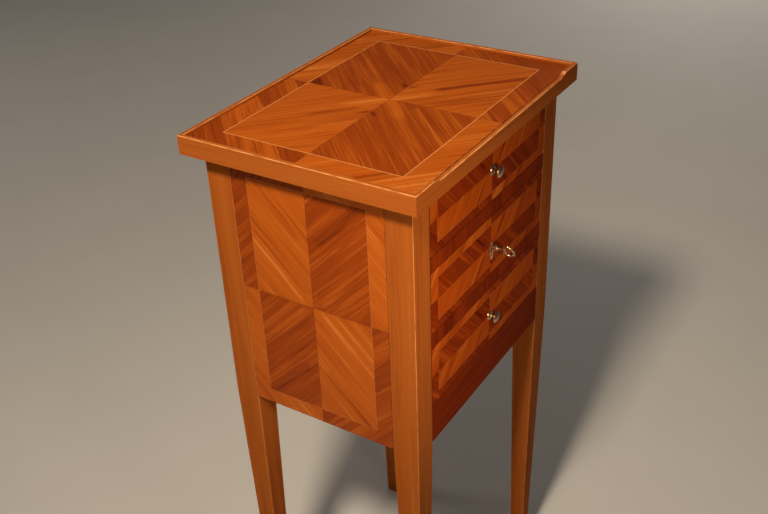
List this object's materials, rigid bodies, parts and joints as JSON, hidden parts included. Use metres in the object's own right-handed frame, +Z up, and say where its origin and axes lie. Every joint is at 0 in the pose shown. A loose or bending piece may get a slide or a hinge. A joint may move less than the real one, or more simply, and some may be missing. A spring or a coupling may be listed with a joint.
{
  "type": "sewing table",
  "caption": "Small marquetry sewing table: shallow tray top over drawers with knobs and a keyed lock, on square tapering legs.",
  "frame": {"origin": "on the floor, under the centre of the box that holds the table and its key", "axes": "+X to the right as seen from the drawers' side, +Y towards the back, +Z up; the drawers open towards -Y"},
  "size_m": [0.364, 0.2924, 0.75],
  "materials": {
    "top_marquetry": "quartered diagonal veneer, satin French polish",
    "case_marquetry": "quartered diagonal veneer, satin French polish",
    "rail_veneer": "crossbanded veneer, satin French polish",
    "stringing": "thin light line let in flush, polished",
    "show_wood": "straight-grained, satin French polish, worn arrises",
    "carcase_oak": "planed secondary wood, unpolished",
    "drawer_oak": "planed secondary wood, unpolished",
    "aged_brass": "old turned brass, handled bright on the high spots",
    "key_brass": "worn gilt brass",
    "lock_iron": "dark sheet iron with light rust"
  },
  "bodies": {
    "carcase": {"apron_veneer": "rail_veneer", "back_panel": "carcase_oak", "back_veneers": "case_marquetry", "drawer_guides": "carcase_oak", "drawer_stops": "carcase_oak", "front_apron": "carcase_oak", "left_veneers": "case_marquetry", "leg_back_left": "show_wood", "leg_back_right": "show_wood", "leg_front_left": "show_wood", "leg_front_right": "show_wood", "lower_rail": "carcase_oak", "lower_rail_veneer": "rail_veneer", "lower_runners": "carcase_oak", "middle_runners": "carcase_oak", "right_veneers": "case_marquetry", "rim_back": "show_wood", "rim_front": "show_wood", "rim_left": "show_wood", "rim_right": "show_wood", "side_panel_left": "carcase_oak", "side_panel_right": "carcase_oak", "top_board": "carcase_oak", "top_border_veneers": "top_marquetry", "top_field_veneers": "top_marquetry", "top_glue_blocks": "carcase_oak", "top_string_line": "stringing", "upper_rail": "carcase_oak", "upper_rail_veneer": "rail_veneer", "upper_runners": "carcase_oak"},
    "upper_drawer": {"upper_drawer_back": "drawer_oak", "upper_drawer_bottom": "drawer_oak", "upper_drawer_front": "drawer_oak", "upper_drawer_side_left": "drawer_oak", "upper_drawer_side_right": "drawer_oak", "upper_drawer_veneers": "case_marquetry", "upper_knob": "aged_brass", "upper_knob_nut": "lock_iron"},
    "middle_drawer": {"escutcheon": "aged_brass", "escutcheon_pins": "aged_brass", "lock_case": "lock_iron", "lock_screws": "lock_iron", "middle_drawer_back": "drawer_oak", "middle_drawer_bottom": "drawer_oak", "middle_drawer_front": "drawer_oak", "middle_drawer_side_left": "drawer_oak", "middle_drawer_side_right": "drawer_oak", "middle_drawer_veneers": "case_marquetry"},
    "lower_drawer": {"lower_drawer_back": "drawer_oak", "lower_drawer_bottom": "drawer_oak", "lower_drawer_front": "drawer_oak", "lower_drawer_side_left": "drawer_oak", "lower_drawer_side_right": "drawer_oak", "lower_drawer_veneers": "case_marquetry", "lower_knob": "aged_brass", "lower_knob_nut": "lock_iron"},
    "lock_bolt": {"lock_bolt": "lock_iron"},
    "key": {"key": "key_brass"}
  },
  "joints": [
    {"name": "upper_drawer_slide", "type": "slide", "parent": "carcase", "child": "upper_drawer", "axis": [0, -1, 0], "range_m": [0, 0.165]},
    {"name": "middle_drawer_slide", "type": "slide", "parent": "carcase", "child": "middle_drawer", "axis": [0, -1, 0], "range_m": [0, 0.165]},
    {"name": "lower_drawer_slide", "type": "slide", "parent": "carcase", "child": "lower_drawer", "axis": [0, -1, 0], "range_m": [0, 0.165]},
    {"name": "key_turn", "type": "hinge", "parent": "middle_drawer", "child": "key", "pos_m": [0, -0.11725, 0.5977], "axis": [0, -1, 0], "range_deg": [-30, 150]},
    {"name": "lock_bolt_slide", "type": "slide", "parent": "middle_drawer", "child": "lock_bolt", "axis": [0, 0, 1], "range_m": [-0.0013, 0.0061]}
  ],
  "couplings": [
    {"joint": "lock_bolt_slide", "follows": "key_turn", "m_per_rad": 0.0022918}
  ]
}
